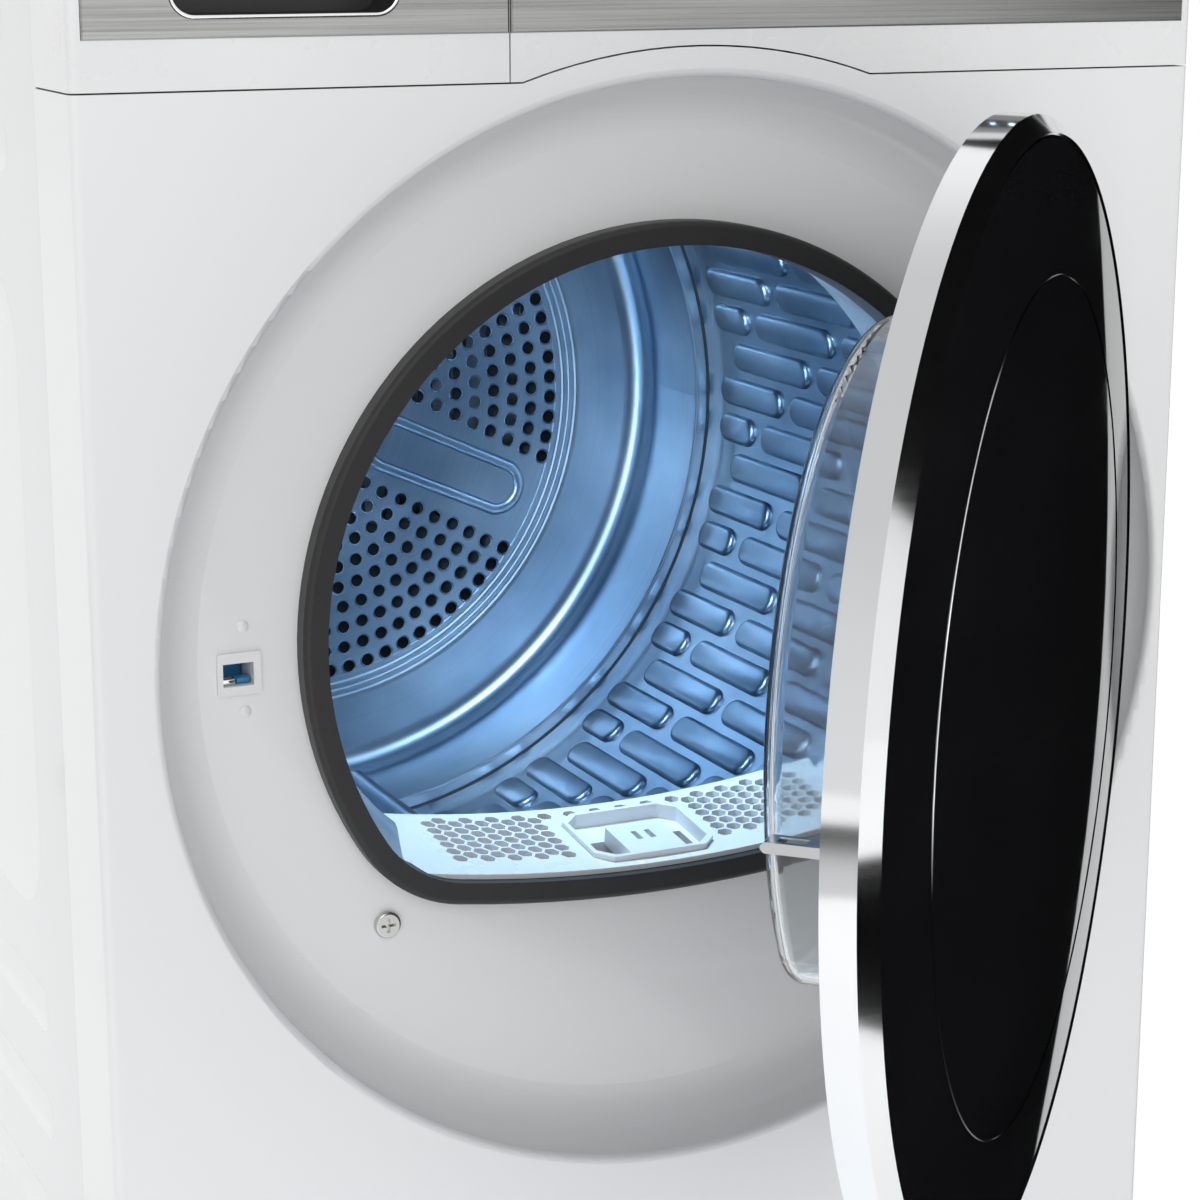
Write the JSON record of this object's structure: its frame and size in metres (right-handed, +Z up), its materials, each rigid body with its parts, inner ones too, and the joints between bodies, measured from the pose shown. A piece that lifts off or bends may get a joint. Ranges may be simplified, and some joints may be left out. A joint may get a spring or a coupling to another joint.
{
  "type": "clothes dryer",
  "caption": "Free-standing front-loading heat-pump clothes dryer with a round glass door part open, drum, lint filter, water drawer, controls and drive inside.",
  "frame": {"origin": "on the floor under the middle of the cabinet, halfway between its front face and the rear cover's raised middle", "axes": "+X to the right of a person who faces the front, +Y to the back, +Z up"},
  "size_m": [0.595, 1.0143, 0.845],
  "materials": {
    "white_steel": "gloss white enamel",
    "white_plastic": "satin white",
    "galvanised_steel": "galvanised",
    "drum_steel": "stainless, polished",
    "brushed_trim": "brushed along its length",
    "chrome_trim": "polished",
    "zinc_screws": "zinc plated",
    "gasket_rubber": "matt dark grey",
    "belt_rubber": "matt black",
    "black_glass": "gloss black",
    "clear_glass": "clear",
    "black_plastic": "fine grained",
    "grey_plastic": "fine grained",
    "tank_plastic": "milky, smooth",
    "green_board": "lacquered",
    "filter_fabric": "fine woven mesh",
    "machined_steel": "turned",
    "motor_iron": "painted grey",
    "black_shell_steel": "gloss black",
    "fin_aluminium": "bare",
    "copper": "bare copper"
  },
  "bodies": {
    "cabinet": {"air_duct": "grey_plastic", "base_pan": "black_plastic", "blower_housing": "black_plastic", "cabinet_screws": "zinc_screws", "compressor": "black_shell_steel", "condenser": "fin_aluminium", "control_board": "green_board", "control_fascia": "white_plastic", "display_window": "black_glass", "door_gasket": "gasket_rubber", "drain_pump": "grey_plastic", "drain_spigot": "grey_plastic", "drive_belt": "belt_rubber", "drum_lamp": "clear_glass", "evaporator": "fin_aluminium", "fascia_trim": "brushed_trim", "front_bulkhead": "galvanised_steel", "front_panel": "white_steel", "hinge_bracket": "chrome_trim", "knob_bezel": "chrome_trim", "latch_socket": "white_plastic", "left_side_panel": "white_steel", "lint_grille": "white_plastic", "motor": "motor_iron", "plug_caps": "white_plastic", "power_inlet": "black_plastic", "rear_bulkhead": "black_shell_steel", "rear_cover": "galvanised_steel", "refrigerant_pipes": "copper", "right_side_panel": "white_steel", "tank_housing": "grey_plastic", "top_cover": "white_plastic"},
    "door": {"door_ring": "chrome_trim", "door_glass": "black_glass", "door_frame": "black_plastic", "door_bowl": "clear_glass", "latch_hook": "chrome_trim", "hinge_leaf": "chrome_trim", "door_screws": "zinc_screws"},
    "drum": {"drum_shell": "drum_steel", "drum_back": "drum_steel", "drum_lifters": "drum_steel", "drum_shaft": "machined_steel"},
    "tank": {"tank_front": "white_plastic", "tank_trim": "brushed_trim", "tank_grip": "black_plastic", "tank_body": "tank_plastic"},
    "filter": {"filter_frame": "grey_plastic", "filter_mesh": "filter_fabric"},
    "programme_knob": {"programme_knob": "chrome_trim"},
    "power_button": {"power_button": "white_plastic"},
    "start_button": {"start_button": "white_plastic"},
    "blower_rotor": {"blower_rotor": "machined_steel"},
    "roller_left": {"roller_left": "grey_plastic"},
    "roller_right": {"roller_right": "grey_plastic"},
    "idler_pulley": {"idler_pulley": "grey_plastic"},
    "foot_front_left": {"foot_front_left": "grey_plastic"},
    "foot_front_right": {"foot_front_right": "grey_plastic"},
    "foot_rear_left": {"foot_rear_left": "grey_plastic"},
    "foot_rear_right": {"foot_rear_right": "grey_plastic"}
  },
  "joints": [
    {"name": "door_hinge", "type": "hinge", "parent": "cabinet", "child": "door", "pos_m": [0.2611, -0.323, 0.435], "axis": [0, 0, 1], "range_deg": [-44.6, 80]},
    {"name": "drum_spin", "type": "hinge", "parent": "cabinet", "child": "drum", "pos_m": [0.008, 0, 0.461], "axis": [0, 1, 0], "continuous": true},
    {"name": "tank_slide", "type": "slide", "parent": "cabinet", "child": "tank", "axis": [0, -1, 0], "range_m": [0, 0.35]},
    {"name": "filter_lift", "type": "slide", "parent": "cabinet", "child": "filter", "axis": [0, 0, 1], "range_m": [0, 0.2]},
    {"name": "knob_turn", "type": "hinge", "parent": "cabinet", "child": "programme_knob", "pos_m": [0.06, -0.335, 0.7805], "axis": [0, -1, 0], "continuous": true},
    {"name": "power_press", "type": "slide", "parent": "cabinet", "child": "power_button", "axis": [0, 1, 0], "range_m": [0, 0.002], "stiffness_N_per_m": 800, "springref_m": -0.0005},
    {"name": "start_press", "type": "slide", "parent": "cabinet", "child": "start_button", "axis": [0, 1, 0], "range_m": [0, 0.002], "stiffness_N_per_m": 800, "springref_m": -0.0005},
    {"name": "motor_spin", "type": "hinge", "parent": "cabinet", "child": "blower_rotor", "pos_m": [0.185, -0.05, 0.11], "axis": [0, 1, 0], "continuous": true},
    {"name": "roller_left_spin", "type": "hinge", "parent": "cabinet", "child": "roller_left", "pos_m": [-0.18889, -0.232, 0.22636], "axis": [0, 1, 0], "continuous": true},
    {"name": "roller_right_spin", "type": "hinge", "parent": "cabinet", "child": "roller_right", "pos_m": [0.20489, -0.232, 0.22636], "axis": [0, 1, 0], "continuous": true},
    {"name": "idler_spin", "type": "hinge", "parent": "cabinet", "child": "idler_pulley", "pos_m": [0.092, 0.03, 0.11618], "axis": [0, 1, 0], "continuous": true},
    {"name": "foot_front_left_height", "type": "slide", "parent": "cabinet", "child": "foot_front_left", "axis": [0, 0, -1], "range_m": [0, 0.015]},
    {"name": "foot_front_right_height", "type": "slide", "parent": "cabinet", "child": "foot_front_right", "axis": [0, 0, -1], "range_m": [0, 0.015]},
    {"name": "foot_rear_left_height", "type": "slide", "parent": "cabinet", "child": "foot_rear_left", "axis": [0, 0, -1], "range_m": [0, 0.015]},
    {"name": "foot_rear_right_height", "type": "slide", "parent": "cabinet", "child": "foot_rear_right", "axis": [0, 0, -1], "range_m": [0, 0.015]}
  ],
  "couplings": [
    {"joint": "motor_spin", "follows": "drum_spin", "ratio": 31.556},
    {"joint": "roller_left_spin", "follows": "drum_spin", "ratio": -12.909},
    {"joint": "roller_right_spin", "follows": "drum_spin", "ratio": -12.909},
    {"joint": "idler_spin", "follows": "drum_spin", "ratio": -21.969}
  ]
}
